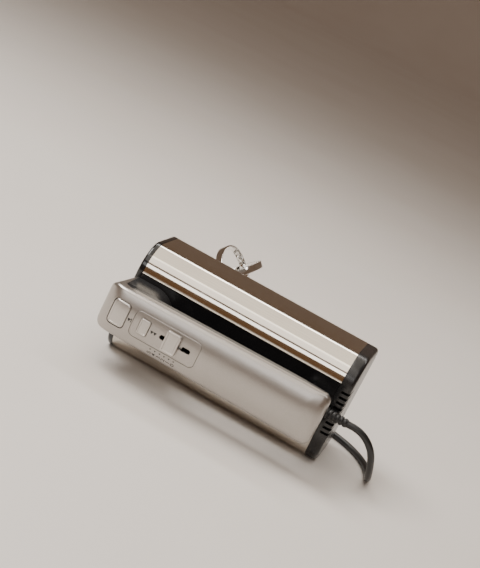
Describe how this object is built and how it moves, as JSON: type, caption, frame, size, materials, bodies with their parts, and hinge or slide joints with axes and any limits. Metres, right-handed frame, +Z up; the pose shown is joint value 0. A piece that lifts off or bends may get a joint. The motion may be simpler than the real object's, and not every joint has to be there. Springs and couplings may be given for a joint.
{
  "type": "hand mixer",
  "caption": "Hand mixer with steel side panels, a silver closed handle with slide and push controls, two strip beaters and a coiled mains cord.",
  "frame": {"origin": "middle of the flat left side, which the mixer lies on", "axes": "+Z up from the surface it lies on, towards the mixer's right side; +Y towards the beaters, away from the handle; -X towards the nose, +X towards the rear cap and the cord"},
  "size_m": [0.2376, 0.2484, 0.092],
  "materials": {
    "mirror_steel": "polished stainless steel, mirror bright",
    "gloss_black": "piano black moulded plastic",
    "satin_black": "satin black moulded plastic",
    "grip_black": "dark grey satin moulded plastic",
    "satin_silver": "silver paint, satin, fine metallic",
    "button_silver": "silver paint, satin",
    "circuit_board": "green solder mask",
    "yellow_film": "yellow film capacitor case",
    "white_nylon": "natural nylon",
    "spring_steel": "drawn and ground steel",
    "screw_steel": "zinc plated steel",
    "lamination_iron": "stacked sheet iron, varnished",
    "copper_wire": "enamelled copper",
    "bronze": "sintered bronze and brass",
    "carbon": "pressed carbon",
    "chrome": "chrome plated steel",
    "cord_black": "black flexible sheath",
    "pin_brass": "nickel plated brass"
  },
  "bodies": {
    "housing": {"side_panel_right": "mirror_steel", "side_panel_left": "mirror_steel", "upper_housing": "gloss_black", "lower_housing": "gloss_black", "nose_cap": "gloss_black", "rear_cap": "satin_black", "handle_grip": "grip_black", "handle_cover": "satin_silver", "control_plate": "satin_silver", "socket_rings": "chrome", "strain_relief": "cord_black", "power_cord": "cord_black", "cord_coil": "cord_black", "cord_tail": "cord_black", "cord_tie": "grip_black", "plug_body": "cord_black", "plug_pins": "pin_brass", "control_board": "circuit_board", "speed_switch": "satin_black", "turbo_contact": "white_nylon", "suppressor_capacitor": "yellow_film", "eject_spring": "spring_steel", "turbo_spring": "spring_steel", "stator_core": "lamination_iron", "field_coils": "copper_wire", "brush_holders": "bronze", "carbon_brushes": "carbon", "rear_bracket": "satin_black", "front_bracket": "satin_black", "shaft_bearings": "bronze", "motor_screws": "screw_steel", "gear_case": "grip_black", "gear_cover": "grip_black", "gear_screws": "screw_steel", "spindle_bushes": "bronze", "housing_screws": "screw_steel", "handle_screws": "screw_steel"},
    "rotor": {"armature_core": "lamination_iron", "armature_windings": "copper_wire", "commutator": "copper_wire", "motor_shaft": "spring_steel", "drive_worm": "spring_steel", "cooling_fan": "white_nylon"},
    "drive_left": {"worm_wheel_left": "white_nylon", "spindle_left": "spring_steel"},
    "drive_right": {"worm_wheel_right": "white_nylon", "spindle_right": "spring_steel"},
    "beater_left": {"beater_left": "chrome"},
    "beater_right": {"beater_right": "chrome"},
    "eject": {"eject_button": "button_silver", "ejector": "white_nylon"},
    "turbo": {"turbo_button": "button_silver"},
    "slider": {"speed_slider": "button_silver"}
  },
  "joints": [
    {"name": "motor_spin", "type": "hinge", "parent": "housing", "child": "rotor", "pos_m": [0.022, -0.01, 0.046], "axis": [-1, 0, 0], "continuous": true},
    {"name": "left_spindle_spin", "type": "hinge", "parent": "housing", "child": "drive_left", "pos_m": [-0.051, -0.01, 0.027], "axis": [0, -1, 0], "continuous": true},
    {"name": "right_spindle_spin", "type": "hinge", "parent": "housing", "child": "drive_right", "pos_m": [-0.051, -0.01, 0.065], "axis": [0, -1, 0], "continuous": true},
    {"name": "left_beater_eject", "type": "slide", "parent": "drive_left", "child": "beater_left", "axis": [0, 1, 0], "range_m": [0, 0.006]},
    {"name": "right_beater_eject", "type": "slide", "parent": "drive_right", "child": "beater_right", "axis": [0, 1, 0], "range_m": [0, 0.006]},
    {"name": "eject_press", "type": "slide", "parent": "housing", "child": "eject", "axis": [0, 1, 0], "range_m": [0, 0.006], "stiffness_N_per_m": 700, "springref_m": -0.004, "deforming": ["eject_spring"]},
    {"name": "turbo_press", "type": "slide", "parent": "housing", "child": "turbo", "axis": [0, 1, 0], "range_m": [0, 0.0025], "stiffness_N_per_m": 500, "springref_m": -0.002, "deforming": ["turbo_spring"]},
    {"name": "speed_slide", "type": "slide", "parent": "housing", "child": "slider", "axis": [1, 0, 0], "range_m": [-0.012, 0.008]}
  ],
  "couplings": [
    {"joint": "left_spindle_spin", "follows": "motor_spin", "ratio": -0.045455},
    {"joint": "right_spindle_spin", "follows": "motor_spin", "ratio": 0.045455},
    {"joint": "left_beater_eject", "follows": "eject_press", "ratio": 1},
    {"joint": "right_beater_eject", "follows": "eject_press", "ratio": 1}
  ]
}
